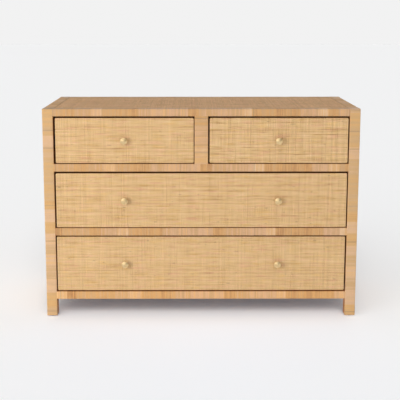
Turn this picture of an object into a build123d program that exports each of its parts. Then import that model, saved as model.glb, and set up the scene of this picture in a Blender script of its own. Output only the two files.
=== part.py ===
from build123d import *
import os

# Four-drawer dresser: a wrapped post-and-rail case with woven panels, two small drawers
# over two wide ones, each on a pair of telescopic slides.
# Millimetres, +Z up. The front faces -Y and +X is to its right.
# The origin is on the floor, in the middle of the outer box, knobs included.

os.makedirs("parts", exist_ok=True)

# ---------------------------------------------------------------- driving dimensions

width = 1219.0
case_depth = 483.0
post = 41.0  # side of the square posts, and depth of every rail
edge_round = 2.5  # rounding of the wrapped edges

foot_height = 70.0  # floor to the underside of the bottom rail
rail_height = 31.0
top_rail_height = 29.0
lower_opening = 226.0
middle_opening = 223.0
upper_opening = 184.0
stile_width = 53.0

glide_height = 3.0
glide_radius = 14.0
glide_pin_radius = 2.0
glide_pin_length = 14.0
glide_chamfer = 0.8

panel_thickness = 12.0  # side panels
panel_inset = 6.0  # from the outer face of the posts
tongue = 8.0  # panel edge held in a post
rail_tongue = 5.0  # panel edge held in a rail
back_thickness = 6.0
back_inset = 6.0
top_thickness = 15.0
top_inset = 1.0  # the top panel lies this much below the rails
partition_thickness = 18.0
partition_lap = 5.0  # the partition starts this far above the foot of the rail it meets
batten_height = 60.0

dowel_radius = 3.0
dowel_length = 30.0
dowel_clearance = 0.05
dowel_chamfer = 0.8
dowel_spread = 8.0  # half the distance between the two dowels of a rail joint
dowel_stagger = 5.0  # dowels along X sit this much above the rail's middle, along Y below
stile_dowel_spread = 14.0

front_recess = 1.0  # drawer fronts stand this much behind the face of the case
front_thickness = 18.0
front_corner = 4.0
side_gap = 5.5  # each side of a front, to the case or the stile
height_gap = 5.0  # above and below a front

board = 12.0  # drawer sides and back
bottom_thickness = 6.0
bottom_height = 10.0  # underside of the drawer bottom above the lower edge of the sides
groove = 6.0
box_length = 410.0
small_box_height = 140.0
large_box_height = 176.0
box_top_round = 2.0

slide_thickness = 12.7
slide_length = 400.0
slide_setback = 2.0  # behind the drawer front
slide_drop = 4.0  # the slides' centre line lies this much below the middle of an opening
middle_member_length = 380.0
sheet = 1.2  # steel of the slide members
cabinet_half_height = 22.5
middle_half_height = 18.0
drawer_half_height = 13.5
cabinet_lips = 9.5
middle_web = 3.2
middle_lips = 10.0
drawer_lips = 6.0

knob_projection = 24.0
knob_radius = 14.0
knob_rim_start = 14.5
knob_rim_end = 19.0
knob_rim_chamfer = 0.7
knob_shoulder = 1.6  # rounding from the rim to the dome
knob_neck_radius = 5.0
knob_neck_height = 7.0
knob_base_radius = 8.0
knob_base_height = 2.5
knob_base_chamfer = 1.0
knob_bore_depth = 13.0
screw_radius = 2.0
screw_clearance = 0.05
screw_hole_radius = 2.3
screw_grip = 11.0  # length of thread inside the knob
screw_head_radius = 4.0
screw_head_height = 2.6
screw_head_round = 1.0

# ---------------------------------------------------------------- places worked out from them

front_y = knob_projection - front_recess - (case_depth + knob_projection - front_recess) / 2
back_y = front_y + case_depth
inner_x = width / 2 - post
front_inner_y = front_y + post
rear_inner_y = back_y - post
post_x = width / 2 - post / 2
front_post_y = front_y + post / 2
rear_post_y = back_y - post / 2

bottom_rail_z = foot_height
lower_z = bottom_rail_z + rail_height
lower_rail_z = lower_z + lower_opening
middle_z = lower_rail_z + rail_height
upper_rail_z = middle_z + middle_opening
upper_z = upper_rail_z + rail_height
top_rail_z = upper_z + upper_opening
height = top_rail_z + top_rail_height

panel_x = width / 2 - panel_inset - panel_thickness / 2
panel_inner_x = panel_x - panel_thickness / 2
panel_z = lower_z - rail_tongue
panel_height = top_rail_z + rail_tongue - panel_z
back_panel_y = back_y - back_inset - back_thickness / 2
top_panel_z = height - top_inset - top_thickness
front_face_y = front_y + front_recess
board_y = front_face_y + front_thickness  # rear face of the drawer fronts
slide_y = board_y + slide_setback
batten_length = rear_inner_y - front_inner_y
half_stile = stile_width / 2

small_opening = inner_x - half_stile
small_centre = (inner_x + half_stile) / 2
wide_knob_x = small_centre

# name, centre x, opening width, opening foot, opening height, box height, where its front
# hangs off the opening's middle (right, up), knobs
drawers = [
    ("upper_left", -small_centre, small_opening, upper_z, upper_opening, small_box_height,
     (2.4, -1.5), [0]),
    ("upper_right", small_centre, small_opening, upper_z, upper_opening, small_box_height,
     (0.5, -1.4), [0]),
    ("middle", 0, 2 * inner_x, middle_z, middle_opening, large_box_height,
     (0.5, -1.7), [-wide_knob_x, wide_knob_x]),
    ("lower", 0, 2 * inner_x, lower_z, lower_opening, large_box_height,
     (-0.7, 0.6), [-wide_knob_x, wide_knob_x]),
]


def save(builder, name):
    """Label a finished piece and write it out."""
    builder.part.label = name
    export_step(builder.part, f"parts/{name}.step")


def block(x_range, y_range, z_range, mode=Mode.ADD):
    """A box between two values on each axis."""
    centre = [(low + high) / 2 for low, high in (x_range, y_range, z_range)]
    sizes = [high - low for low, high in (x_range, y_range, z_range)]
    with Locations(tuple(centre)):
        Box(*sizes, mode=mode)


def facing_y(y):
    """Plane across the Y axis; local x is +X, local y is +Z, and it extrudes towards -Y."""
    return Plane.XZ.offset(-y)


# ---------------------------------------------------------------- dowels of the case joints


def dowels_along_x(y_centre, rail_z, rail_size):
    """Two dowels through each end of a rail that runs along X."""
    z = rail_z + rail_size / 2 + dowel_stagger
    return [
        Location((side * inner_x, y_centre + spread, z), (0, 90, 0))
        for side in (-1, 1)
        for spread in (-dowel_spread, dowel_spread)
    ]


def dowels_along_y(side, rail_z, rail_size):
    """Two dowels through each end of a side rail."""
    z = rail_z + rail_size / 2 - dowel_stagger
    return [
        Location((side * post_x + spread, y, z), (90, 0, 0))
        for y in (front_inner_y, rear_inner_y)
        for spread in (-dowel_spread, dowel_spread)
    ]


front_rails = [
    ("bottom_rail_front", bottom_rail_z, rail_height),
    ("lower_rail_front", lower_rail_z, rail_height),
    ("upper_rail_front", upper_rail_z, rail_height),
    ("top_rail_front", top_rail_z, top_rail_height),
]
end_rails = [("bottom_rail", bottom_rail_z, rail_height), ("top_rail", top_rail_z, top_rail_height)]

stile_dowels = [
    Location((spread, front_post_y, z))
    for z in (upper_z, top_rail_z)
    for spread in (-stile_dowel_spread, stile_dowel_spread)
]
case_dowels = list(stile_dowels)
for _, rail_z, rail_size in front_rails:
    case_dowels += dowels_along_x(front_post_y, rail_z, rail_size)
for _, rail_z, rail_size in end_rails:
    case_dowels += dowels_along_x(rear_post_y, rail_z, rail_size)
    case_dowels += dowels_along_y(-1, rail_z, rail_size)
    case_dowels += dowels_along_y(1, rail_z, rail_size)


def drill(piece):
    """Cut the dowel holes that reach into this piece."""
    box = piece.part.bounding_box()
    reach = dowel_length / 2
    places = [
        place
        for place in case_dowels
        if box.min.X - reach < place.position.X < box.max.X + reach
        and box.min.Y - reach < place.position.Y < box.max.Y + reach
        and box.min.Z - reach < place.position.Z < box.max.Z + reach
    ]
    with Locations(*places):
        Cylinder(dowel_radius + dowel_clearance, dowel_length, mode=Mode.SUBTRACT)


with BuildPart() as frame_dowels:
    with Locations(*case_dowels):
        Cylinder(dowel_radius, dowel_length)
    chamfer(frame_dowels.edges().filter_by(GeomType.CIRCLE), dowel_chamfer)
save(frame_dowels, "frame_dowels")

# ---------------------------------------------------------------- posts and their glides


def make_post(name, side, end):
    """A wrapped post. side is -1 at the left, end is -1 at the front."""
    centre_y = front_post_y if end < 0 else rear_post_y
    groove_y = centre_y - end * (post - tongue) / 2
    with BuildPart() as corner_post:
        with BuildSketch(Plane.XY.offset(glide_height)):
            with Locations((side * post_x, centre_y)):
                RectangleRounded(post, post, edge_round)
        extrude(amount=height - glide_height)
        fillet(corner_post.faces().sort_by(Axis.Z)[0].edges(), edge_round / 2)
        with BuildSketch(Plane.XY.offset(panel_z)):
            with Locations((side * panel_x, groove_y)):
                Rectangle(panel_thickness, tongue)
            if end > 0:
                with Locations((side * (inner_x + tongue / 2), back_panel_y)):
                    Rectangle(tongue, back_thickness)
        extrude(amount=panel_height, mode=Mode.SUBTRACT)
        with BuildSketch(Plane.XY.offset(glide_height)):
            with Locations((side * post_x, centre_y)):
                Circle(glide_pin_radius + dowel_clearance)
        extrude(amount=glide_pin_length + 1, mode=Mode.SUBTRACT)
        drill(corner_post)
    save(corner_post, name)


for end_name, end in (("front", -1), ("rear", 1)):
    for side_name, side in (("left", -1), ("right", 1)):
        make_post(f"post_{end_name}_{side_name}", side, end)

post_places = [
    (side * post_x, y) for side in (-1, 1) for y in (front_post_y, rear_post_y)
]
with BuildPart() as foot_glides:
    with BuildSketch(Plane.XY):
        with Locations(*post_places):
            Circle(glide_radius)
    extrude(amount=glide_height)
    chamfer(foot_glides.faces().filter_by(Axis.Z).group_by(Axis.Z)[0].edges(), glide_chamfer)
    with BuildSketch(Plane.XY.offset(glide_height)):
        with Locations(*post_places):
            Circle(glide_pin_radius)
    extrude(amount=glide_pin_length)
save(foot_glides, "foot_glides")

# ---------------------------------------------------------------- rails and centre stile


def round_front(piece, axis):
    """Round the two edges along axis that lie on the face of the case."""
    fillet(piece.edges().filter_by(axis).group_by(Axis.Y)[0], edge_round)


for name, rail_z, rail_size in front_rails:
    with BuildPart() as front_rail:
        block((-inner_x, inner_x), (front_y, front_inner_y), (rail_z, rail_z + rail_size))
        round_front(front_rail, Axis.X)
        if name == "top_rail_front":
            block((-inner_x, inner_x), (front_inner_y - tongue, front_inner_y),
                  (top_panel_z, height), Mode.SUBTRACT)
        drill(front_rail)
    save(front_rail, name)

with BuildPart() as centre_stile:
    block((-half_stile, half_stile), (front_y, front_inner_y), (upper_z, top_rail_z))
    round_front(centre_stile, Axis.Z)
    drill(centre_stile)
save(centre_stile, "centre_stile")

for rail_name, rail_z, rail_size in end_rails:
    is_top = rail_name == "top_rail"
    groove_foot = rail_z if is_top else rail_z + rail_size - rail_tongue
    groove_range = (groove_foot, groove_foot + rail_tongue)

    with BuildPart() as rear_rail:
        block((-inner_x, inner_x), (rear_inner_y, back_y), (rail_z, rail_z + rail_size))
        block((-inner_x, inner_x),
              (back_panel_y - back_thickness / 2, back_panel_y + back_thickness / 2),
              groove_range, Mode.SUBTRACT)
        if is_top:
            block((-inner_x, inner_x), (rear_inner_y, rear_inner_y + tongue),
                  (top_panel_z, height), Mode.SUBTRACT)
        drill(rear_rail)
    save(rear_rail, f"{rail_name}_rear")

    for side_name, side in (("left", -1), ("right", 1)):
        rail_x = sorted((side * inner_x, side * width / 2))
        groove_x = sorted((side * panel_inner_x, side * (panel_inner_x + panel_thickness)))
        rabbet_x = sorted((side * inner_x, side * (inner_x + tongue)))
        with BuildPart() as side_rail:
            block(rail_x, (front_inner_y, rear_inner_y), (rail_z, rail_z + rail_size))
            outer = side_rail.edges().filter_by(Axis.Y).group_by(Axis.X)
            fillet(outer[-1] if side > 0 else outer[0], edge_round)
            block(groove_x, (front_inner_y, rear_inner_y), groove_range, Mode.SUBTRACT)
            if is_top:
                block(rabbet_x, (front_inner_y, rear_inner_y), (top_panel_z, height),
                      Mode.SUBTRACT)
            drill(side_rail)
        save(side_rail, f"{rail_name}_{side_name}")

# ---------------------------------------------------------------- panels, partition, battens

for side_name, side in (("left", -1), ("right", 1)):
    with BuildPart() as side_panel:
        block(sorted((side * panel_inner_x, side * (panel_inner_x + panel_thickness))),
              (front_inner_y - tongue, rear_inner_y + tongue),
              (panel_z, panel_z + panel_height))
    save(side_panel, f"side_panel_{side_name}")

with BuildPart() as back_panel:
    block((-inner_x - tongue, inner_x + tongue),
          (back_panel_y - back_thickness / 2, back_panel_y + back_thickness / 2),
          (panel_z, panel_z + panel_height))
save(back_panel, "back_panel")

with BuildPart() as top_panel:
    with BuildSketch(Plane.XY.offset(top_panel_z)):
        with Locations((0, (front_inner_y + rear_inner_y) / 2)):
            Rectangle(2 * inner_x + 2 * tongue, batten_length)
            Rectangle(2 * inner_x, batten_length + 2 * tongue)
    extrude(amount=top_thickness)
save(top_panel, "top_panel")

with BuildPart() as centre_partition:
    block((-partition_thickness / 2, partition_thickness / 2), (front_inner_y, rear_inner_y),
          (upper_rail_z + partition_lap, top_panel_z))
save(centre_partition, "centre_partition")


def slide_middle(opening_z, opening_height):
    """Height of the slides' centre line in an opening."""
    return opening_z + opening_height / 2 - slide_drop


slide_walls = []  # wall x, direction from the wall to the drawer, centre height, drawer name
for name, centre_x, opening_width, opening_z, opening_height, *_ in drawers:
    for side in (-1, 1):
        wall_x = centre_x + side * opening_width / 2
        slide_walls.append((wall_x, -side, slide_middle(opening_z, opening_height), name))

with BuildPart() as slide_battens:
    for wall_x, towards, middle, _ in slide_walls:
        backing_x = panel_inner_x if abs(wall_x) > half_stile + 1 else partition_thickness / 2
        batten_x = sorted((wall_x, backing_x * (1 if wall_x > 0 else -1)))
        block(batten_x, (front_inner_y, rear_inner_y),
              (middle - batten_height / 2, middle + batten_height / 2))
save(slide_battens, "slide_battens")

# ---------------------------------------------------------------- telescopic slides


def channel(wall_x, towards, middle, web, lips, half_height, length):
    """A rolled C section along Y. Its web is at distance web from the wall and its lips
    reach to distance lips."""
    opening = 1 if lips > web else -1
    with BuildSketch(facing_y(slide_y + length)) as section:
        with Locations((wall_x + towards * (web + lips) / 2, middle)):
            RectangleRounded(abs(lips - web), 2 * half_height, sheet)
        with Locations((wall_x + towards * ((web + lips) / 2 + opening * sheet), middle)):
            Rectangle(abs(lips - web), 2 * (half_height - sheet), mode=Mode.SUBTRACT)
    extrude(section.sketch, amount=length)


with BuildPart() as cabinet_slide_members:
    for wall_x, towards, middle, _ in slide_walls:
        channel(wall_x, towards, middle, 0, cabinet_lips, cabinet_half_height, slide_length)
save(cabinet_slide_members, "cabinet_slide_members")

for name, *_ in drawers:
    walls = [wall for wall in slide_walls if wall[3] == name]
    with BuildPart() as middle_members:
        for wall_x, towards, middle, _ in walls:
            channel(wall_x, towards, middle, middle_web, middle_lips, middle_half_height,
                    middle_member_length)
    save(middle_members, f"{name}_middle_slide_members")

    with BuildPart() as drawer_members:
        for wall_x, towards, middle, _ in walls:
            channel(wall_x, towards, middle, slide_thickness, drawer_lips, drawer_half_height,
                    slide_length)
    save(drawer_members, f"{name}_drawer_slide_members")

# ---------------------------------------------------------------- drawers


def add_knob(x, z):
    """A turned brass knob standing out from the drawer front."""
    centre = Plane(origin=(x, front_face_y, z), x_dir=(0, -1, 0), z_dir=(1, 0, 0))
    with BuildSketch(centre) as half_section:
        with BuildLine():
            Polyline(
                (knob_bore_depth, 0),
                (knob_bore_depth, screw_radius + screw_clearance),
                (0, screw_radius + screw_clearance),
                (0, knob_base_radius),
                (knob_base_height - knob_base_chamfer, knob_base_radius),
                (knob_base_height, knob_base_radius - knob_base_chamfer),
            )
            Spline(
                (knob_base_height, knob_base_radius - knob_base_chamfer),
                (knob_neck_height, knob_neck_radius),
                (knob_rim_start, knob_radius - knob_rim_chamfer),
                tangents=[(1, -2.2), (0.9, 1)],
            )
            Polyline(
                (knob_rim_start, knob_radius - knob_rim_chamfer),
                (knob_rim_start + knob_rim_chamfer, knob_radius),
                (knob_rim_end, knob_radius),
            )
            Spline(
                (knob_rim_end, knob_radius),
                (knob_rim_end + knob_shoulder, knob_radius - knob_shoulder),
                (knob_projection, 0),
                tangents=[(1, 0), (0, -1)],
            )
            Line((knob_projection, 0), (knob_bore_depth, 0))
        make_face()
    revolve(half_section.sketch, axis=Axis((x, front_face_y, z), (0, -1, 0)))


for drawer in drawers:
    name, centre_x, opening_width, opening_z, opening_height, box_height, hang, knobs = drawer
    front_width = opening_width - 2 * side_gap
    front_height = opening_height - 2 * height_gap
    front_middle = opening_z + opening_height / 2 + hang[1]
    box_half = opening_width / 2 - slide_thickness
    box_x = (centre_x - box_half, centre_x + box_half)
    box_middle = slide_middle(opening_z, opening_height)
    box_z = (box_middle - box_height / 2, box_middle + box_height / 2)
    box_y = (board_y, board_y + box_length)
    bottom_z = (box_z[0] + bottom_height, box_z[0] + bottom_height + bottom_thickness)
    knob_places = [(centre_x + knob_x, front_middle) for knob_x in knobs]

    with BuildPart() as front:
        with BuildSketch(facing_y(board_y)):
            with Locations((centre_x + hang[0], front_middle)):
                RectangleRounded(front_width, front_height, front_corner)
        extrude(amount=front_thickness)
        fillet(front.faces().sort_by(Axis.Y)[0].edges(), edge_round)
        block((box_x[0] + board - groove, box_x[1] - board + groove),
              (board_y - groove, board_y), bottom_z, Mode.SUBTRACT)
        with BuildSketch(facing_y(board_y)):
            with Locations(*knob_places):
                Circle(screw_hole_radius)
        extrude(amount=front_thickness, mode=Mode.SUBTRACT)
    save(front, f"{name}_drawer_front")

    for side_name, side in (("left", -1), ("right", 1)):
        outside = centre_x + side * box_half
        inside = outside - side * board
        with BuildPart() as drawer_side:
            block(sorted((outside, inside)), box_y, box_z)
            fillet(drawer_side.edges().filter_by(Axis.Y).group_by(Axis.Z)[-1], box_top_round)
            block(sorted((inside, inside + side * groove)), box_y, bottom_z, Mode.SUBTRACT)
        save(drawer_side, f"{name}_drawer_side_{side_name}")

    inner_range = (box_x[0] + board, box_x[1] - board)
    with BuildPart() as drawer_back:
        block(inner_range, (box_y[1] - board, box_y[1]), (bottom_z[1], box_z[1]))
        fillet(drawer_back.edges().filter_by(Axis.X).group_by(Axis.Z)[-1], box_top_round)
    save(drawer_back, f"{name}_drawer_back")

    with BuildPart() as drawer_bottom:
        block((inner_range[0] - groove, inner_range[1] + groove),
              (board_y - groove, box_y[1]), bottom_z)
    save(drawer_bottom, f"{name}_drawer_bottom")

    with BuildPart() as drawer_knobs:
        for knob_x, knob_z in knob_places:
            add_knob(knob_x, knob_z)
    save(drawer_knobs, f"{name}_knobs" if len(knobs) > 1 else f"{name}_knob")

    with BuildPart() as knob_screws:
        with BuildSketch(facing_y(board_y)):
            with Locations(*knob_places):
                Circle(screw_radius)
        extrude(amount=front_thickness + screw_grip)
        with BuildSketch(facing_y(board_y + screw_head_height)):
            with Locations(*knob_places):
                Circle(screw_head_radius)
        extrude(amount=screw_head_height)
        fillet(knob_screws.faces().sort_by(Axis.Y)[-len(knobs):].edges(), screw_head_round)
    save(knob_screws, f"{name}_knob_screws" if len(knobs) > 1 else f"{name}_knob_screw")
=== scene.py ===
import math

import bpy
import numpy as np
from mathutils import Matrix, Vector


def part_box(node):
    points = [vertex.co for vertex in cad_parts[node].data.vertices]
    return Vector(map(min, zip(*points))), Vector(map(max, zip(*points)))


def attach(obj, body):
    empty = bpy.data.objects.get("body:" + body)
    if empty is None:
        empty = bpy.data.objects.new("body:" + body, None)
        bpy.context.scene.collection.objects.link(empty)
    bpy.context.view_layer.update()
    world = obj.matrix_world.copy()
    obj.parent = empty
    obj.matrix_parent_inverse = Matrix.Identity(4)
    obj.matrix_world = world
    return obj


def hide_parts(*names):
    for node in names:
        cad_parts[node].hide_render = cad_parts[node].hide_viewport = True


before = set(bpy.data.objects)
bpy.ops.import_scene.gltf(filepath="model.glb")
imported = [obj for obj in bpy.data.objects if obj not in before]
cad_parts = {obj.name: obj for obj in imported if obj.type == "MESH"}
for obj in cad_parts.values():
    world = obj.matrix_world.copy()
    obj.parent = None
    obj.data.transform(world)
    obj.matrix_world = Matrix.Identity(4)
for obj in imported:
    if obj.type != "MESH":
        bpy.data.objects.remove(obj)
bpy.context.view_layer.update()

# A rattan dresser. The CAD model gives every place and size. This script adds the peel wound
# round the frame, the woven rattan glued to the fronts and panels, and all materials.
# Metres, +Z up, the front faces -Y.

MM = 0.001

WRAP_PITCH = 4.6 * MM  # width of one turn of peel round a post or rail
WRAP_GROOVE = 0.55 * MM  # depth of the groove between two turns
WRAP_EDGE_ROUND = 2.6 * MM
WRAP_PATCH = 48 * MM  # one length of peel covers about this much of a member
TURN_SINK = 0.12 * MM  # the most that one turn stands lower than another
TURN_DRIFT = 0.08  # how far a seam strays, as a share of a turn
TURN_SHOULDER = 0.16  # where a turn's crown starts, as a share of its width
END_TURN = 0.15  # the least that is left of a turn at a member's end

WEAVE_PITCH = 3.4 * MM  # width of one strip of the weave
WEAVE_RELIEF = 0.55 * MM
WEFT_SHARE = 0.62  # how much of the relief is in the broad weft strips
STRIP_ROUNDNESS = 0.7  # below 1, the strips are flatter on top
WARP_SHARE = 0.6  # how much of a crossing the warp covers where it lies on top
WEAVE_BASE = 0.08 * MM  # the lowest point of the weave above its board
WEAVE_SIDE = 0.45 * MM  # thickness of the weave where it is turned over a board's edge
WEAVE_CLEARANCE = 0.05 * MM
FLAT_CLEARANCE = 0.4  # share of the clearance that a face without a skirt keeps
STRIP_UNEVENNESS = 0.03 * MM
BOARD_WAVE = 0.05 * MM  # slow rise and fall of a whole face
WAVE_RATES = (41, 33)  # radians per metre
EDGE_STEPS = (0.0, 0.08, 0.3, 0.62, 1.0)  # where points lie on a turned edge, as shares of it
FLAT_FROM = 1.02  # where the strips' own points start, the same way

# where the case ends at the front, the rear and the top, and how far out its inner side is
FRONT_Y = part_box("post_front_left")[0][1]
REAR_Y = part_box("post_rear_left")[1][1]
TOP_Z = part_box("post_front_left")[1][2]
INNER_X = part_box("post_front_right")[0][0]

SIDES = ("left", "right")
WIDE_DRAWERS = ("middle", "lower")
SMALL_DRAWERS = ("upper_left", "upper_right")
DRAWERS = SMALL_DRAWERS + WIDE_DRAWERS


# ---------------------------------------------------------------- materials


def linear(red, green, blue):
    """An sRGB colour, 0 to 255, as linear light with full alpha."""
    channels = []
    for value in (red, green, blue):
        share = value / 255
        channels.append(share / 12.92 if share <= 0.04045 else ((share + 0.055) / 1.055) ** 2.4)
    return (*channels, 1.0)


class Graph:
    """A material's node tree, with short calls for the nodes that the materials use."""

    def __init__(self, name):
        self.material = bpy.data.materials.new(name)
        self.material.use_nodes = True
        self.tree = self.material.node_tree
        self.shader = self.tree.nodes["Principled BSDF"]
        place = self.node("ShaderNodeTexCoord")
        split = self.node("ShaderNodeSeparateXYZ", place.outputs["Object"])
        self.position = place.outputs["Object"]
        self.axes = dict(zip("XYZ", split.outputs))

    def node(self, kind, *inputs, **settings):
        """A new node with its first input sockets fed in order."""
        made = self.tree.nodes.new(kind)
        for key, value in settings.items():
            setattr(made, key, value)
        for socket, value in zip(made.inputs, inputs):
            self.feed(socket, value)
        return made

    def feed(self, socket, value):
        """Links value to a socket if it is another node's output, or else sets it."""
        if isinstance(value, bpy.types.NodeSocket):
            self.tree.links.new(value, socket)
        elif value is not None:
            socket.default_value = value

    def math(self, operation, *values):
        """One Math node's result."""
        return self.node("ShaderNodeMath", *values, operation=operation).outputs[0]

    def total(self, *parts):
        """The sum of (value, weight) parts."""
        value, weight = parts[0]
        result = self.math("MULTIPLY", value, weight)
        for value, weight in parts[1:]:
            result = self.math("ADD", result, self.math("MULTIPLY", value, weight))
        return result

    def even_out(self, value, contrast, middle):
        """value drawn towards middle as contrast falls from 1 to 0."""
        return self.math("ADD", self.math("MULTIPLY", value, contrast), middle * (1 - contrast))

    def vector(self, x, y, z):
        """Three numbers as one vector."""
        return self.node("ShaderNodeCombineXYZ", x, y, z).outputs[0]

    def stretched(self, axis, along, across):
        """The position, scaled by along on one axis and by across on the others."""
        factors = [along if name == axis else across for name in "XYZ"]
        made = self.node("ShaderNodeVectorMath", self.position, factors, operation="MULTIPLY")
        return made.outputs[0]

    def off_centre(self, value, centre):
        """How far value is from centre, either way."""
        return self.math("ABSOLUTE", self.math("SUBTRACT", value, centre))

    def noise(self, vector, scale, detail=2.0, rough=0.5):
        """Soft noise, mostly from 0.3 to 0.7."""
        made = self.node("ShaderNodeTexNoise", noise_dimensions="3D")
        values = {"Vector": vector, "Scale": scale, "Detail": detail, "Roughness": rough}
        for key, value in values.items():
            self.feed(made.inputs[key], value)
        return made.outputs["Fac"]

    def random(self, value, seed):
        """A random number from 0 to 1 that stays the same while value does."""
        made = self.node("ShaderNodeTexWhiteNoise", noise_dimensions="1D")
        self.feed(made.inputs["W"], self.math("ADD", value, seed))
        return made.outputs["Value"]

    def cells(self, value, seed):
        """Random numbers from 0 to 1 on stretches of uneven length, about 1 long."""
        made = self.node("ShaderNodeTexVoronoi", voronoi_dimensions="1D")
        self.feed(made.inputs["W"], self.math("ADD", value, seed))
        self.feed(made.inputs["Scale"], 1.0)
        return self.node("ShaderNodeSeparateColor", made.outputs["Color"]).outputs[0]

    def ramp(self, value, *stops):
        """The colour at value on a ramp of (place, colour) stops."""
        made = self.node("ShaderNodeValToRGB", value)
        marks = made.color_ramp.elements
        while len(marks) < len(stops):
            marks.new(0.5)
        for mark, (place, colour) in zip(marks, stops):
            mark.position = place
            mark.color = colour
        return made.outputs["Color"]

    def span(self, value, low, high, to_low=0.0, to_high=1.0):
        """value from low to high, taken to to_low to to_high and held there."""
        made = self.node("ShaderNodeMapRange", clamp=True)
        for socket, number in zip(made.inputs, (value, low, high, to_low, to_high)):
            self.feed(socket, number)
        return made.outputs["Result"]

    def mix(self, share, first, second, blend="MIX"):
        """Two colours blended."""
        made = self.node("ShaderNodeMix", data_type="RGBA", blend_type=blend)
        self.feed(made.inputs["Factor"], share)
        for socket, value in zip([s for s in made.inputs if s.type == "RGBA"], (first, second)):
            self.feed(socket, value)
        return next(s for s in made.outputs if s.type == "RGBA")

    def blend(self, share, first, second):
        """The number first where share is 0 and second where it is 1."""
        made = self.node("ShaderNodeMix", share, data_type="FLOAT")
        self.feed(made.inputs["A"], first)
        self.feed(made.inputs["B"], second)
        return made.outputs["Result"]

    def shade(self, colour, share):
        """colour times a number."""
        grey = self.node("ShaderNodeCombineColor", share, share, share).outputs[0]
        return self.mix(1.0, colour, grey, "MULTIPLY")

    def bump(self, height, distance, strength=1.0):
        """Tilts the surface by a height that is too fine for the mesh."""
        made = self.node("ShaderNodeBump")
        self.feed(made.inputs["Height"], height)
        made.inputs["Distance"].default_value = distance
        made.inputs["Strength"].default_value = strength
        self.tree.links.new(made.outputs[0], self.shader.inputs["Normal"])

    def finish(self, colour=None, roughness=None, **uniform):
        """Feeds the shader. uniform values are set on its own sockets."""
        if colour is not None:
            self.feed(self.shader.inputs["Base Color"], colour)
        if roughness is not None:
            self.feed(self.shader.inputs["Roughness"], roughness)
        for key, value in uniform.items():
            self.shader.inputs[key.replace("_", " ")].default_value = value
        return self.material


PEEL_TONES = (
    (0.0, linear(158, 108, 64)),
    (0.14, linear(190, 142, 94)),
    (0.32, linear(214, 166, 106)),
    (0.46, linear(204, 164, 116)),
    (0.6, linear(216, 174, 134)),
    (0.74, linear(222, 176, 118)),
    (0.88, linear(226, 188, 144)),
    (1.0, linear(233, 199, 154)),
)
PEEL_MIDDLE = 0.58  # the tone that an even wrap has all over
PEEL_RANGE = (0.17, 1.03)  # sums of tones that reach the two ends of PEEL_TONES
PATCH_WEIGHT = 0.6
TURN_WEIGHT = 0.22
FIBRE_WEIGHT = 0.24
CLOUD_WEIGHT = 0.2
PEEL_FIBRE_SCALES = (700, 45)  # along the member, which is across the fibres, and round it
CLOUD_SCALE = 30.0
DARK_TURNS = (0.955, 0.96)  # turns with a random number above these are much darker
DARK_TURN_SHADE = 0.78
# painted shade in the grooves between turns of peel
GROOVE_START = 0.38  # from the middle of a turn, as a share of its width
GROOVE_SHADE = 0.45

WHITE = (1.0, 1.0, 1.0, 1.0)
INSIDE_PAINTED_SHADE = (0.64, 0.36, 0.15, 1.0)  # painted shade, dark brown: surfaces inside the case, and the edges of the fronts
INSIDE_FROM = (1.5 * MM, 5 * MM)  # in from the case's front or rear, where the painted shade sets in
INSIDE_BELOW = (2 * MM, 5 * MM)  # the same, down from its top
INSIDE_BETWEEN = 1 * MM  # the same, past the posts' inner sides


def wrapped_peel(name, axis, seed, contrast, tint):
    """Rattan peel wound round a member that runs along axis; painted shade makes it darker in the
    grooves between turns and browner inside the case.
    """
    g = Graph(name)
    along = g.axes[axis]
    turns = g.math("DIVIDE", along, WRAP_PITCH)
    turn = g.math("FLOOR", turns)
    across = g.math("FRACT", turns)
    patch = g.cells(g.math("MULTIPLY", turn, WRAP_PITCH / WRAP_PATCH), seed)
    own = g.random(turn, seed)
    fibre = g.noise(g.stretched(axis, *PEEL_FIBRE_SCALES), 1.0, detail=3.0, rough=0.6)
    cloud = g.noise(g.position, CLOUD_SCALE)
    tone = g.total((patch, PATCH_WEIGHT), (own, TURN_WEIGHT), (fibre, FIBRE_WEIGHT),
                   (cloud, CLOUD_WEIGHT))
    tone = g.even_out(tone, contrast, PEEL_MIDDLE)
    colour = g.ramp(g.span(tone, *PEEL_RANGE), *PEEL_TONES)
    dark_turn = g.span(own, *DARK_TURNS, 1.0, DARK_TURN_SHADE)
    # painted shade in the groove between two turns
    painted_groove_shade = g.span(g.off_centre(across, 0.5), GROOVE_START, 0.5, 1.0, GROOVE_SHADE)
    colour = g.shade(colour, g.math("MULTIPLY", dark_turn, painted_groove_shade))
    colour = g.mix(1.0, colour, tint, "MULTIPLY")
    # painted shade: peel inside the case, between the posts, behind the front, ahead of the rear
    # and below the top, turns dark brown
    off_centre = g.math("ABSOLUTE", g.axes["X"])
    starts, full = INSIDE_FROM
    starts_below, full_below = INSIDE_BELOW
    between_posts = g.span(off_centre, INNER_X, INNER_X + INSIDE_BETWEEN, 1.0, 0.0)
    behind_front = g.span(g.axes["Y"], FRONT_Y + starts, FRONT_Y + full)
    ahead_of_rear = g.span(g.axes["Y"], REAR_Y - full, REAR_Y - starts, 1.0, 0.0)
    below_top = g.span(g.axes["Z"], TOP_Z - full_below, TOP_Z - starts_below, 1.0, 0.0)
    inside = g.math("MULTIPLY", between_posts, behind_front)
    inside = g.math("MULTIPLY", inside, g.math("MULTIPLY", ahead_of_rear, below_top))
    colour = g.mix(1.0, colour, g.mix(inside, WHITE, INSIDE_PAINTED_SHADE), "MULTIPLY")
    g.bump(fibre, 0.25 * MM, strength=0.5)
    return g.finish(colour, g.span(fibre, 0.3, 0.7, 0.42, 0.6), Specular_IOR_Level=0.35)


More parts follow.
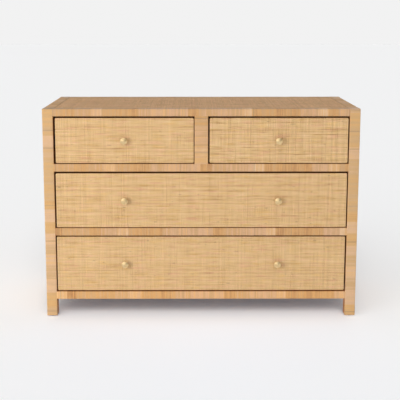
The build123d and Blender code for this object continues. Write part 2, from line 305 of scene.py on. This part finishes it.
WEAVE_TONES = (
    (0.0, linear(158, 118, 75)),
    (0.2, linear(196, 160, 111)),
    (0.45, linear(217, 184, 138)),
    (0.7, linear(227, 196, 152)),
    (1.0, linear(244, 218, 179)),
)
WEAVE_HUES = (
    (0.3, linear(255, 243, 215)),
    (0.45, linear(252, 247, 234)),
    (0.55, linear(255, 247, 240)),
    (0.7, linear(255, 236, 238)),
)
WEAVE_MIDDLE = 0.55  # the tone that an even weave has all over
WEAVE_RANGE = (0.21, 0.95)  # sums of tones that reach the two ends of WEAVE_TONES
STREAK_WEIGHT = 0.9
STRIP_WEIGHT = 0.2
STREAK_SCALES = (0.036, 0.618)  # along a strip, and from strip to strip
WARP_FADE_SCALES = (0.37, 0.06)  # from warp to warp, and along it
HUE_SCALES = (0.05, 0.41)  # along a weft strip, and from strip to strip
DASH_SCALES = (0.14, 5.37)  # the same
FIBRE_SCALES = (1.5, 9.0)  # along the weft, and across it
WARP_LINES = 0.17  # painted light and shade: how much lighter or darker a line up the weave is over each warp, where the weft bulges more or less
STRIP_GAP_START = 0.36  # where painted shade between weft strips starts, from the middle of a weft strip, as a share of its width
STRIP_GAP_SHADE = 0.55
WARP_EDGE_WIDTH = 0.12  # painted shade beside a warp that lies on top, as a share of a strip
WARP_EDGE_SHADE = 0.7
DASH_SHADE = 0.72  # short darker stretches of single weft strips
TURNED_FROM = (1.2 * MM, 3.5 * MM)  # behind a drawer front's face, where painted shade turns its edge brown
JOINT_SHADE_WIDTH = 4 * MM  # painted shade darkens a panel's weave this near to its frame
JOINT_SHADE = 0.45


def woven_rattan(name, across_axis, up_axis, seed, contrast=1.0, tint=WHITE,
                 face=None, edges=None):
    """Plain-woven rattan: broad weft strips along across_axis, narrow warp along up_axis.

    Behind face, where the weave is turned over the edge of a drawer front, painted shade makes it
    browner.
    edges are its two ranges where it ends in a joint, along which painted shade darkens it."""
    g = Graph(name)
    u = g.math("DIVIDE", g.axes[across_axis], WEAVE_PITCH)
    v = g.math("DIVIDE", g.axes[up_axis], WEAVE_PITCH)
    warp = g.math("FLOOR", u)
    weft = g.math("FLOOR", v)
    off_u = g.off_centre(g.math("FRACT", u), 0.5)
    off_v = g.off_centre(g.math("FRACT", v), 0.5)
    warp_over = g.math("FLOORED_MODULO", g.math("ADD", warp, weft), 2.0)
    on_warp = g.math("MULTIPLY", warp_over, g.math("LESS_THAN", off_u, WARP_SHARE / 2))

    def strip_noise(place, scales, offset, detail, rough=0.5):
        """Noise over two coordinates, with a scale for each."""
        first, second = (g.math("MULTIPLY", *pair) for pair in zip(place, scales))
        return g.noise(g.vector(first, second, offset), 1.0, detail, rough)

    def strip_tone(lane, along, offset):
        """Tone of one strip: it changes slowly along the strip and more between strips."""
        streak = strip_noise((along, lane), STREAK_SCALES, offset, detail=3.0, rough=0.6)
        return g.total((streak, STREAK_WEIGHT), (g.random(lane, offset), STRIP_WEIGHT))

    weft_tone = strip_tone(weft, u, seed)
    warp_tone = strip_tone(warp, v, seed + 31.0)
    tone = g.even_out(g.blend(on_warp, weft_tone, warp_tone), contrast, WEAVE_MIDDLE)
    colour = g.ramp(g.span(tone, *WEAVE_RANGE), *WEAVE_TONES)
    # painted light and shade up each warp, fading in and out along it
    fade = g.span(strip_noise((warp, v), WARP_FADE_SCALES, seed + 57, detail=1.0), 0.35, 0.65)
    painted_warp_relief = g.math("MULTIPLY", g.math("SUBTRACT", g.random(warp, seed + 5), 0.5), fade)
    colour = g.shade(colour, g.math("MULTIPLY_ADD", painted_warp_relief, WARP_LINES * contrast, 1.0))
    hue = g.ramp(strip_noise((u, weft), HUE_SCALES, seed + 9, detail=2.0), *WEAVE_HUES)
    colour = g.mix(1.0, colour, hue, "MULTIPLY")
    # painted shade between the weft strips and beside the warp where it lies on top; the dashes
    # are the strips' own darker stretches
    painted_weft_gap_shade = g.span(off_v, STRIP_GAP_START, 0.5, 1.0, STRIP_GAP_SHADE)
    off_warp_edge = g.off_centre(off_u, WARP_SHARE / 2)
    painted_warp_edge_shade = g.span(off_warp_edge, 0.0, WARP_EDGE_WIDTH, WARP_EDGE_SHADE, 1.0)
    painted_warp_edge_shade = g.blend(warp_over, 1.0, painted_warp_edge_shade)
    dash = strip_noise((u, weft), DASH_SCALES, seed + 17, detail=1.0)
    dash = g.span(dash, 0.7, 0.76, 1.0, DASH_SHADE)
    painted_shade_and_dashes = g.math("MULTIPLY", g.math("MULTIPLY", painted_weft_gap_shade, painted_warp_edge_shade), dash)
    colour = g.mix(1.0, g.shade(colour, painted_shade_and_dashes), tint, "MULTIPLY")
    # painted shade on the weave where it turns over a drawer front's edge
    if face is not None:
        starts, full = TURNED_FROM
        turned = g.span(g.axes["Y"], face + starts, face + full)
        colour = g.mix(1.0, colour, g.mix(turned, WHITE, INSIDE_PAINTED_SHADE), "MULTIPLY")
    if edges is not None:
        # painted shade where the weave meets its frame
        for axis, (low, high) in zip((across_axis, up_axis), edges):
            off_middle = g.off_centre(g.axes[axis], (low + high) / 2)
            half = (high - low) / 2
            painted_joint_shade = g.span(off_middle, half - JOINT_SHADE_WIDTH, half, 1.0, JOINT_SHADE)
            colour = g.shade(colour, painted_joint_shade)
    fibre = strip_noise((u, v), FIBRE_SCALES, seed, detail=3.0, rough=0.6)
    colour = g.shade(colour, g.span(fibre, 0.25, 0.75, 0.94, 1.06))
    g.bump(fibre, 0.15 * MM, strength=0.4)
    return g.finish(colour, g.span(fibre, 0.3, 0.7, 0.5, 0.68), Specular_IOR_Level=0.25)


WOOD_SCALES = (3, 90)  # along the grain, and across it
RINGS_WEIGHT = 0.35
FIGURE_WEIGHT = 0.65


def sawn_wood(name, axis, light, dark, scale=1.0):
    """Sanded wood with its grain along axis."""
    g = Graph(name)
    grain = g.stretched(axis, *WOOD_SCALES)
    figure = g.noise(grain, 0.5 * scale, detail=4.0, rough=0.6)
    pores = g.noise(grain, 6.0 * scale, rough=0.6)
    rings = g.math("FRACT", g.math("MULTIPLY", figure, 7.0))
    tone = g.total((rings, RINGS_WEIGHT), (figure, FIGURE_WEIGHT))
    colour = g.ramp(g.span(tone, 0.2, 0.8), (0.0, dark), (1.0, light))
    colour = g.shade(colour, g.span(pores, 0.35, 0.5, 0.86, 1.0))
    g.bump(pores, 0.12 * MM, strength=0.4)
    return g.finish(colour, g.span(pores, 0.3, 0.7, 0.5, 0.65), Specular_IOR_Level=0.3)


def worn_metal(name, colour, darker, roughness, scale, metallic=1.0):
    """Bare, plated or coated metal with faint handling marks."""
    g = Graph(name)
    marks = g.noise(g.position, scale, detail=4.0, rough=0.65)
    smudge = g.noise(g.position, scale * 0.12)
    shade = g.mix(g.span(smudge, 0.35, 0.7), colour, darker)
    g.bump(marks, 0.02 * MM, strength=0.25)
    return g.finish(shade, g.span(marks, 0.3, 0.7, *roughness), Metallic=metallic)


def moulded_nylon(name):
    """Dark nylon with a fine moulded grain."""
    g = Graph(name)
    grain = g.noise(g.position, 1800.0, detail=3.0)
    colour = g.ramp(grain, (0.3, linear(34, 30, 27)), (0.7, linear(52, 47, 43)))
    g.bump(grain, 0.05 * MM, strength=0.5)
    return g.finish(colour, g.span(grain, 0.3, 0.7, 0.5, 0.65))


# ---------------------------------------------------------------- mesh helpers

AXIS_INDEX = {"X": 0, "Y": 1, "Z": 2}


def make_piece(name, points, faces, body, material, sharp=50):
    """A closed mesh, in the dresser's own coordinates, that rides on a CAD body.

    Edges between faces that meet at more than sharp degrees stay sharp."""
    mesh = bpy.data.meshes.new(name)
    mesh.from_pydata(points, [], faces)
    mesh.materials.append(material)
    mesh.validate()
    mesh.shade_smooth()
    mesh.set_sharp_from_angle(angle=math.radians(sharp))
    piece = bpy.data.objects.new(name, mesh)
    bpy.context.scene.collection.objects.link(piece)
    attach(piece, body)
    return piece


def rounded_ring(half_a, half_b, radius, steps=4, flats=2):
    """Points of a rounded rectangle, anticlockwise, with extra points on its flat sides."""
    corners = ((1, 1, 0), (-1, 1, 90), (-1, -1, 180), (1, -1, 270))
    arcs = []
    for sign_a, sign_b, start in corners:
        centre_a, centre_b = sign_a * (half_a - radius), sign_b * (half_b - radius)
        arc = []
        for step in range(steps + 1):
            angle = math.radians(start + 90 * step / steps)
            arc.append((centre_a + radius * math.cos(angle), centre_b + radius * math.sin(angle)))
        arcs.append(arc)
    ring = []
    for arc, following in zip(arcs, arcs[1:] + arcs[:1]):
        ring += arc
        for step in range(1, flats + 1):
            share = step / (flats + 1)
            ring.append(tuple(a + (b - a) * share for a, b in zip(arc[-1], following[0])))
    return ring


def wrapped_member(node, axis, seed, contrast=1.0, tint=WHITE, lengthen=0.0, soften=0.0):
    """Replaces a post or rail with the same member wound with peel, ridge by ridge.

    lengthen is added at both ends, and soften rounds the end that comes first on the axis."""
    rng = np.random.default_rng(seed)
    low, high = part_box(node)
    along = AXIS_INDEX[axis]
    side_a, side_b = (along + 1) % 3, (along + 2) % 3
    centre_a, centre_b = (low[side_a] + high[side_a]) / 2, (low[side_b] + high[side_b]) / 2
    half_a, half_b = (high[side_a] - low[side_a]) / 2, (high[side_b] - low[side_b]) / 2
    start, stop = low[along] - lengthen, high[along] + lengthen
    first = math.ceil(start / WRAP_PITCH + END_TURN)
    last = math.floor(stop / WRAP_PITCH - END_TURN)
    # each level is a place along the member and how far its surface is sunk there
    levels = [(start, soften or WRAP_GROOVE)]
    if soften:
        levels += [(start + 0.3 * soften, 0.3 * soften), (start + soften, 0.1 * soften)]
    for turn in range(first, last + 1):
        seam = turn * WRAP_PITCH + rng.uniform(-TURN_DRIFT, TURN_DRIFT) * WRAP_PITCH
        sunk = rng.uniform(0, TURN_SINK)
        levels.append((seam, WRAP_GROOVE))
        if turn < last:
            shoulder = TURN_SHOULDER * WRAP_GROOVE + sunk
            levels.append((seam + TURN_SHOULDER * WRAP_PITCH, shoulder))
            levels.append((seam + 0.5 * WRAP_PITCH, sunk))
            levels.append((seam + (1 - TURN_SHOULDER) * WRAP_PITCH, shoulder))
    levels.append((stop, WRAP_GROOVE))
    levels = sorted(level for level in levels if start <= level[0] <= stop)
    points, faces = [], []
    for place, sink in levels:
        ring = rounded_ring(half_a - sink, half_b - sink, WRAP_EDGE_ROUND)
        ring_size = len(ring)
        for off_a, off_b in ring:
            point = [0.0, 0.0, 0.0]
            point[along], point[side_a], point[side_b] = place, centre_a + off_a, centre_b + off_b
            points.append(point)
    for row in range(len(levels) - 1):
        for column in range(ring_size):
            near = row * ring_size + column
            far = row * ring_size + (column + 1) % ring_size
            faces.append((near, far, far + ring_size, near + ring_size))
    faces.append(tuple(reversed(range(ring_size))))
    faces.append(tuple(range(len(points) - ring_size, len(points))))
    material = wrapped_peel(f"peel_{node}", axis, float(seed), contrast, tint)
    piece = make_piece(f"{node}_wrapped", points, faces, "case", material)
    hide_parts(node)


def grid_lines(low, high, edge_round=0.0):
    """Places across a weave: two for each strip, and a few more where its edge turns over."""
    step = WEAVE_PITCH / 2
    flat_low, flat_high = low + edge_round * FLAT_FROM, high - edge_round * FLAT_FROM
    lines = [n * step for n in range(math.ceil(low / step), math.floor(high / step) + 1)]
    lines = [place for place in lines if flat_low < place < flat_high]
    turned = [share * edge_round for share in EDGE_STEPS] if edge_round else [0.0]
    return sorted([low + depth for depth in turned] + lines + [high - depth for depth in turned])


def weave_relief(u, v):
    """Height of the woven strips: 1 on a crossing, less between two, 0 in a hole."""
    across = np.abs(np.sin(np.pi * u / WEAVE_PITCH)) ** STRIP_ROUNDNESS
    up = np.abs(np.sin(np.pi * v / WEAVE_PITCH)) ** STRIP_ROUNDNESS
    return (1 - WEFT_SHARE) * across + WEFT_SHARE * up


def round_corners(off_u, off_v, half_u, half_v, corner):
    """Draws a rectangular grid in to rounded corners. off_u and off_v are from its middle."""
    past_u = np.abs(off_u) - (half_u - corner)
    past_v = np.abs(off_v) - (half_v - corner)
    inside = (past_u > 0) & (past_v > 0)
    reach = np.where(inside, np.hypot(past_u, past_v), 1.0)
    shrink = np.where(inside, np.maximum(past_u, past_v) / np.maximum(reach, 1e-9), 1.0)
    rounded_u = np.sign(off_u) * (half_u - corner + past_u * shrink)
    rounded_v = np.sign(off_v) * (half_v - corner + past_v * shrink)
    return np.where(inside, rounded_u, off_u), np.where(inside, rounded_v, off_v)


def turn_edges(height, off_u, off_v, half_u, half_v, corner, edge_round):
    """The height of each point of a face once its edges are turned back."""
    past_u = np.maximum(np.abs(off_u) - (half_u - corner), 0)
    past_v = np.maximum(np.abs(off_v) - (half_v - corner), 0)
    in_corner = corner - np.hypot(past_u, past_v)
    on_side = np.minimum(half_u - np.abs(off_u), half_v - np.abs(off_v))
    depth = np.where((past_u > 0) & (past_v > 0), in_corner, on_side)
    back = np.clip(edge_round - depth, 0, edge_round)
    fall = edge_round - np.sqrt(np.maximum(edge_round**2 - back**2, 0))
    return height * np.clip(depth / edge_round, 0, 1) - fall


def woven_face(name, body, material, u_axis, v_axis, face, outward, u_range, v_range,
               seed, edge_round=0.0, corner=0.0, skirt=0.0):
    """Woven rattan glued over a flat board.

    face is the board's surface on the third axis and outward is the way it looks. With a
    skirt, the weave turns over the board's edges and runs that far back along them. corner
    is the radius of the face's corners."""
    rng = np.random.default_rng(seed)
    axis_u, axis_v = AXIS_INDEX[u_axis], AXIS_INDEX[v_axis]
    axis_out = 3 - axis_u - axis_v
    lines_u, lines_v = grid_lines(*u_range, edge_round), grid_lines(*v_range, edge_round)
    grid_u, grid_v = np.meshgrid(lines_u, lines_v, indexing="ij")
    rate_u, rate_v = WAVE_RATES
    height = WEAVE_BASE + WEAVE_RELIEF * weave_relief(grid_u, grid_v)
    height += rng.uniform(-STRIP_UNEVENNESS, STRIP_UNEVENNESS, grid_u.shape)
    height += BOARD_WAVE * np.sin(grid_u * rate_u + seed) * np.cos(grid_v * rate_v)
    centre_u, centre_v = sum(u_range) / 2, sum(v_range) / 2
    halves = (u_range[1] - u_range[0]) / 2, (v_range[1] - v_range[0]) / 2
    off_u, off_v = grid_u - centre_u, grid_v - centre_v
    if corner:
        off_u, off_v = round_corners(off_u, off_v, *halves, corner)
    if edge_round:
        height = turn_edges(height, off_u, off_v, *halves, corner, edge_round)
    points = np.zeros((grid_u.size, 3))
    points[:, axis_u] = (centre_u + off_u).ravel()
    points[:, axis_v] = (centre_v + off_v).ravel()
    points[:, axis_out] = face + outward * height.ravel()
    index = np.arange(grid_u.size).reshape(grid_u.shape)
    quads = np.stack([index[:-1, :-1], index[1:, :-1], index[1:, 1:], index[:-1, 1:]], -1)
    faces = quads.reshape(-1, 4).tolist()
    rim = np.concatenate([index[:, 0], index[-1, 1:], index[-2::-1, -1], index[0, -2:0:-1]])
    if skirt:  # back along the outside, in to the board, and forward again under the face
        under = WEAVE_SIDE - WEAVE_CLEARANCE
        back_end = -edge_round - skirt
        steps = ((0.0, back_end), (under, back_end), (under, WEAVE_CLEARANCE))
    else:
        steps = ((0.0, WEAVE_CLEARANCE * FLAT_CLEARANCE),)
    stacked = [points]
    total = len(points)
    previous = rim
    for inset, rise in steps:
        ring = points[rim].copy()
        ring[:, axis_u] = centre_u + (ring[:, axis_u] - centre_u) * (1 - inset / halves[0])
        ring[:, axis_v] = centre_v + (ring[:, axis_v] - centre_v) * (1 - inset / halves[1])
        ring[:, axis_out] = face + outward * rise
        stacked.append(ring)
        current = np.arange(total, total + len(rim))
        corners = [previous, current, np.roll(current, -1), np.roll(previous, -1)]
        faces += np.stack(corners, -1).tolist()
        previous = current
        total += len(rim)
    middle = np.zeros((1, 3))
    middle[0, axis_u], middle[0, axis_v] = centre_u, centre_v
    middle[0, axis_out] = face + outward * steps[-1][1]
    stacked.append(middle)
    for near, far in zip(previous.tolist(), np.roll(previous, -1).tolist()):
        faces.append((near, total, far))
    right_handed = (axis_u, axis_v) != (0, 2)
    if right_handed != (outward > 0):
        faces = [tuple(reversed(face_points)) for face_points in faces]
    points = np.concatenate(stacked).tolist()
    make_piece(name, points, faces, body, material, sharp=60)


# ---------------------------------------------------------------- frame members

POSTS = [f"post_{end}_{side}" for end in ("front", "rear") for side in SIDES]
FRONT_RAILS = ["bottom_rail_front", "lower_rail_front", "upper_rail_front", "top_rail_front"]
CROSS_RAILS = FRONT_RAILS + ["bottom_rail_rear", "top_rail_rear"]
SIDE_RAILS = [f"{level}_rail_{side}" for level in ("bottom", "top") for side in SIDES]

JOINT_REACH = 2.3 * MM  # how far a rail's wrap runs into the rounded edge of a post
POST_WASH = (1.0, 1.03, 1.07, 1.0)
RAIL_WASH = (0.95, 0.93, 0.95, 1.0)
# the bottom rails' peel is warmer than the other rails'
BOTTOM_RAIL_TINT = (1.05, 1.0, 0.94, 1.0)
STILE_WASH = (0.93, 0.91, 0.88, 1.0)
POST_CONTRAST = 0.5
STILE_CONTRAST = 1.15
FOOT_ROUND = 1.5 * MM

# every member and every woven face has a seed of its own
for number, node in enumerate(POSTS):
    wrapped_member(node, "Z", 11 + number, POST_CONTRAST, POST_WASH, soften=FOOT_ROUND)
for number, node in enumerate(CROSS_RAILS):
    own_tint = BOTTOM_RAIL_TINT if node.startswith("bottom") else RAIL_WASH
    wrapped_member(node, "X", 31 + number, tint=own_tint, lengthen=JOINT_REACH)
for number, node in enumerate(SIDE_RAILS):
    wrapped_member(node, "Y", 51 + number, tint=RAIL_WASH, lengthen=JOINT_REACH)
wrapped_member("centre_stile", "Z", 73, STILE_CONTRAST, STILE_WASH, lengthen=JOINT_REACH)

# ---------------------------------------------------------------- woven faces

WEAVE_CONTRAST = {"upper_left": 1.05, "upper_right": 1.35, "middle": 1.0, "lower": 0.95}
TOP_CONTRAST = 1.4
# a tint of the top's weave, redder and darker in green and blue than the fronts': partly painted
# shade for the top's dimmer light
TOP_TINT_AND_SHADE = (1.05, 0.95, 0.93, 1.0)
FRONT_EDGE_ROUND = 2.9 * MM
FRONT_CORNER = 4.4 * MM
FRONT_SKIRT = 14 * MM

for number, drawer in enumerate(DRAWERS):
    low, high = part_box(f"{drawer}_drawer_front")
    contrast = WEAVE_CONTRAST[drawer]
    weave = woven_rattan(f"weave_{drawer}", "X", "Z", 3.0 * number, contrast, face=low[1])
    across = (low[0] - WEAVE_SIDE, high[0] + WEAVE_SIDE)
    up = (low[2] - WEAVE_SIDE, high[2] + WEAVE_SIDE)
    woven_face(f"{drawer}_drawer_weave", f"{drawer}_drawer", weave, "X", "Z", low[1], -1,
               across, up, seed=101 + number,
               edge_round=FRONT_EDGE_ROUND, corner=FRONT_CORNER, skirt=FRONT_SKIRT)

top_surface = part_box("top_panel")[1][2]
inner_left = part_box("post_front_left")[1][0]
inner_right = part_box("post_front_right")[0][0]
inner_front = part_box("post_front_left")[1][1]
inner_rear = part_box("post_rear_left")[0][1]
top_edges = ((inner_left, inner_right), (inner_front, inner_rear))
weave = woven_rattan("weave_top", "X", "Y", 40.0, TOP_CONTRAST, TOP_TINT_AND_SHADE, edges=top_edges)
woven_face("top_weave", "case", weave, "X", "Y", top_surface, 1, *top_edges, seed=110)

panel_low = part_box("bottom_rail_left")[1][2]
panel_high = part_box("top_rail_left")[0][2]
side_edges = ((inner_front, inner_rear), (panel_low, panel_high))
for number, side in enumerate(SIDES):
    low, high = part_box(f"side_panel_{side}")
    outward = -1 if side == "left" else 1
    surface = low[0] if side == "left" else high[0]
    weave = woven_rattan(f"weave_side_{side}", "Y", "Z", 50.0 + number, edges=side_edges)
    woven_face(f"side_weave_{side}", "case", weave, "Y", "Z", surface, outward, *side_edges,
               seed=120 + number)

# ---------------------------------------------------------------- materials of the CAD nodes

LIGHT_WOOD = (linear(222, 190, 142), linear(203, 165, 116))
PLY_WOOD = (linear(214, 178, 128), linear(194, 154, 105))
BEECH = (linear(220, 184, 140), linear(198, 156, 110))
BRASS = (linear(232, 204, 154), linear(217, 185, 133))
BLACK_COAT = (linear(46, 42, 38), linear(33, 30, 27))
ZINC = (linear(176, 176, 180), linear(140, 140, 144))

wood_x = sawn_wood("hardwood_along_x", "X", *LIGHT_WOOD)
wood_y = sawn_wood("hardwood_along_y", "Y", *LIGHT_WOOD)
ply_x = sawn_wood("plywood_along_x", "X", *PLY_WOOD, scale=0.7)
ply_y = sawn_wood("plywood_along_y", "Y", *PLY_WOOD, scale=0.7)
beech = sawn_wood("beech", "Y", *BEECH, scale=2.0)
brass = worn_metal("polished_brass", *BRASS, roughness=(0.22, 0.34), scale=900.0)
coated = worn_metal("black_coat", *BLACK_COAT, roughness=(0.35, 0.5), scale=500.0, metallic=0.0)
screw_zinc = worn_metal("zinc_screw", *ZINC, roughness=(0.34, 0.5), scale=1200.0)
nylon = moulded_nylon("moulded_nylon")


def finish_node(name, material):
    """Gives a CAD node its material."""
    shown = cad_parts[name]
    for holder in shown.material_slots:
        holder.material = material
    if not shown.material_slots:
        shown.data.materials.append(material)


CASE_FINISHES = {
    "frame_dowels": beech,
    "foot_glides": nylon,
    "slide_battens": wood_y,
    "centre_partition": ply_y,
    "back_panel": ply_x,
    "top_panel": ply_x,
    "side_panel_left": ply_y,
    "side_panel_right": ply_y,
    "cabinet_slide_members": coated,
}
DRAWER_FINISHES = {
    "drawer_front": ply_x,
    "drawer_side_left": wood_y,
    "drawer_side_right": wood_y,
    "drawer_back": wood_x,
    "drawer_bottom": ply_y,
    "middle_slide_members": coated,
    "drawer_slide_members": coated,
}

for name, material in CASE_FINISHES.items():
    finish_node(name, material)
for drawer in DRAWERS:
    for part, material in DRAWER_FINISHES.items():
        finish_node(f"{drawer}_{part}", material)
    several = "s" if drawer in WIDE_DRAWERS else ""
    finish_node(f"{drawer}_knob{several}", brass)
    finish_node(f"{drawer}_knob_screw{several}", screw_zinc)

# ---------------------------------------------------------------- floor, light and camera

FLOOR_SIZE = 60.0
FLOOR_DROP = 0.2 * MM  # keeps the floor clear of the feet
FLOOR_GLOW = 0.07  # in the colour COOL, like the fills
FLOOR_TINT = (0.970, 0.943, 0.905)
FLOOR_LIGHT = 1.32
FLOOR_LIGHT_SPREAD = 30.0  # degrees across
FLOOR_LIGHT_HEIGHT = 40.0  # degrees up
COOL = (0.02, 0.43, 1.0)  # cancels the warm light that the dresser throws on the floor
COOL_BOXES = (  # fills for the floor: place, target, power, size
    ((0.0, -0.262, 0.43), (0.0, -1.0, 0.43), 0.75, (1.15, 0.7)),
    ((0.0, -0.95, 0.9), (0.0, -0.1, 0.6), 0.6, (1.0, 1.0)),
)

HORIZON = 0.887  # light from near the horizon, as bright as the floor
OVERHEAD = 0.20  # light from high up
SKY_FADE = (8.0, 40.0)  # degrees up, between which the light falls from one to the other
PATCHES = (  # degrees to the right of straight ahead, degrees up, radius, light added
    (-18.0, 36.0, 60.0, 1.1),
    (180.0, 50.0, 42.0, 0.45),
    (10.0, -5.0, 60.0, -0.62),
)
KEY_PLACE = (-2.5, -2.9, 1.05)
KEY_TARGET = (0.0, -0.2, 0.45)
KEY_POWER = 48.0
KEY_SIZE = (1.1, 1.1)

SENSOR_WIDTH = 36  # millimetres, like the lens
LENS = 74.97
SHIFT = (0.0185, -0.15)  # as shares of the picture's side
SEEN_TO = 100  # metres
CAMERA_PLACE = (-0.0437, -3.3918, 1.1814)
CAMERA_DOWN = 0.1495  # radians below level
CAMERA_RIGHT = 0.0032  # radians to the right of straight ahead


def pale_floor():
    """A matt floor, which is only there for the picture."""
    mesh = bpy.data.meshes.new("floor")
    half = FLOOR_SIZE / 2
    square = ((-half, -half), (half, -half), (half, half), (-half, half))
    mesh.from_pydata([(x, y, -FLOOR_DROP) for x, y in square], [], [(0, 1, 2, 3)])
    floor = bpy.data.objects.new("floor", mesh)
    bpy.context.scene.collection.objects.link(floor)
    g = Graph("pale_floor")
    g.finish((*FLOOR_TINT, 1), 1.0, Specular_IOR_Level=0.0,
             Emission_Color=(*COOL, 1), Emission_Strength=FLOOR_GLOW)
    mesh.materials.append(g.material)


def towards(turn, height):
    """The direction from the dresser to a light, in degrees off the front and off the floor."""
    turn, height = math.radians(turn), math.radians(height)
    level = math.cos(height)
    return Vector((math.sin(turn) * level, -math.cos(turn) * level, math.sin(height)))


def soft_sky():
    """Even light, bright at the horizon and dimmer overhead, with broad soft boxes."""
    world = bpy.data.worlds.new("studio")
    bpy.context.scene.world = world
    world.use_nodes = True
    tree = world.node_tree
    background = tree.nodes["Background"]
    background.inputs["Color"].default_value = (1, 1, 1, 1)
    place = tree.nodes.new("ShaderNodeTexCoord").outputs["Generated"]

    def fade(value, *numbers):
        """value from one number to the next, taken smoothly to the two after them."""
        made = tree.nodes.new("ShaderNodeMapRange")
        made.interpolation_type = "SMOOTHSTEP"
        tree.links.new(value, made.inputs[0])
        for socket, number in zip(list(made.inputs)[1:5], numbers):
            socket.default_value = number
        return made.outputs[0]

    split = tree.nodes.new("ShaderNodeSeparateXYZ")
    tree.links.new(place, split.inputs[0])
    low, high = (math.sin(math.radians(height)) for height in SKY_FADE)
    total = fade(split.outputs["Z"], low, high, HORIZON, OVERHEAD)
    for turn, height, radius, brightness in PATCHES:
        facing = tree.nodes.new("ShaderNodeVectorMath")
        facing.operation = "DOT_PRODUCT"
        facing.inputs[1].default_value = towards(turn, height)
        tree.links.new(place, facing.inputs[0])
        edge = math.cos(math.radians(radius))
        glow = fade(facing.outputs["Value"], edge, 1.0, 0.0, brightness)
        both = tree.nodes.new("ShaderNodeMath")
        tree.links.new(total, both.inputs[0])
        tree.links.new(glow, both.inputs[1])
        total = both.outputs[0]
    tree.links.new(total, background.inputs["Strength"])


def aim(name, lamp, direction, receivers):
    """A lamp that shines from direction, lights only the receivers and can't be seen."""
    light = bpy.data.objects.new(name, lamp)
    light.rotation_mode = "QUATERNION"
    light.rotation_quaternion = direction.to_track_quat("Z", "Y")
    light.visible_glossy = False
    light.visible_camera = False
    bpy.context.scene.collection.objects.link(light)
    lit = bpy.data.collections.new(f"{name}_receivers")
    for thing in receivers:
        lit.objects.link(thing)
    light.light_linking.receiver_collection = lit
    return light


def soft_box(name, place, target, power, size, receivers, colour=(1, 1, 1)):
    """A rectangular lamp at place that points at target."""
    lamp = bpy.data.lights.new(name, "AREA")
    lamp.energy = power
    lamp.color = colour
    lamp.shape = "RECTANGLE"
    lamp.size, lamp.size_y = size
    light = aim(name, lamp, Vector(place) - Vector(target), receivers)
    light.location = place


def lamps():
    """A broad lamp at the front left for the dresser; a wide sun and cool fills for the floor."""
    meshes = [thing for thing in bpy.context.scene.objects if thing.type == "MESH"]
    floor = [thing for thing in meshes if thing.name == "floor"]
    dresser = [thing for thing in meshes if thing.name != "floor"]
    soft_box("key", KEY_PLACE, KEY_TARGET, KEY_POWER, KEY_SIZE, dresser)
    for number, (place, target, power, size) in enumerate(COOL_BOXES):
        soft_box(f"floor_fill_{number}", place, target, power, size, floor, COOL)
    sun = bpy.data.lights.new("floor_light", "SUN")
    sun.energy = FLOOR_LIGHT
    sun.angle = math.radians(FLOOR_LIGHT_SPREAD)
    aim("floor_light", sun, towards(0.0, FLOOR_LIGHT_HEIGHT), floor)


def camera():
    """The view from the front, from a little above the dresser's top."""
    lens = bpy.data.cameras.new("camera")
    lens.sensor_width = SENSOR_WIDTH
    lens.lens = LENS
    lens.shift_x, lens.shift_y = SHIFT
    lens.clip_end = SEEN_TO
    eye = bpy.data.objects.new("camera", lens)
    eye.location = CAMERA_PLACE
    eye.rotation_euler = (math.pi / 2 - CAMERA_DOWN, 0.0, -CAMERA_RIGHT)
    bpy.context.scene.collection.objects.link(eye)
    bpy.context.scene.camera = eye


pale_floor()
soft_sky()
lamps()
camera()
bpy.context.scene.view_settings.view_transform = "Standard"
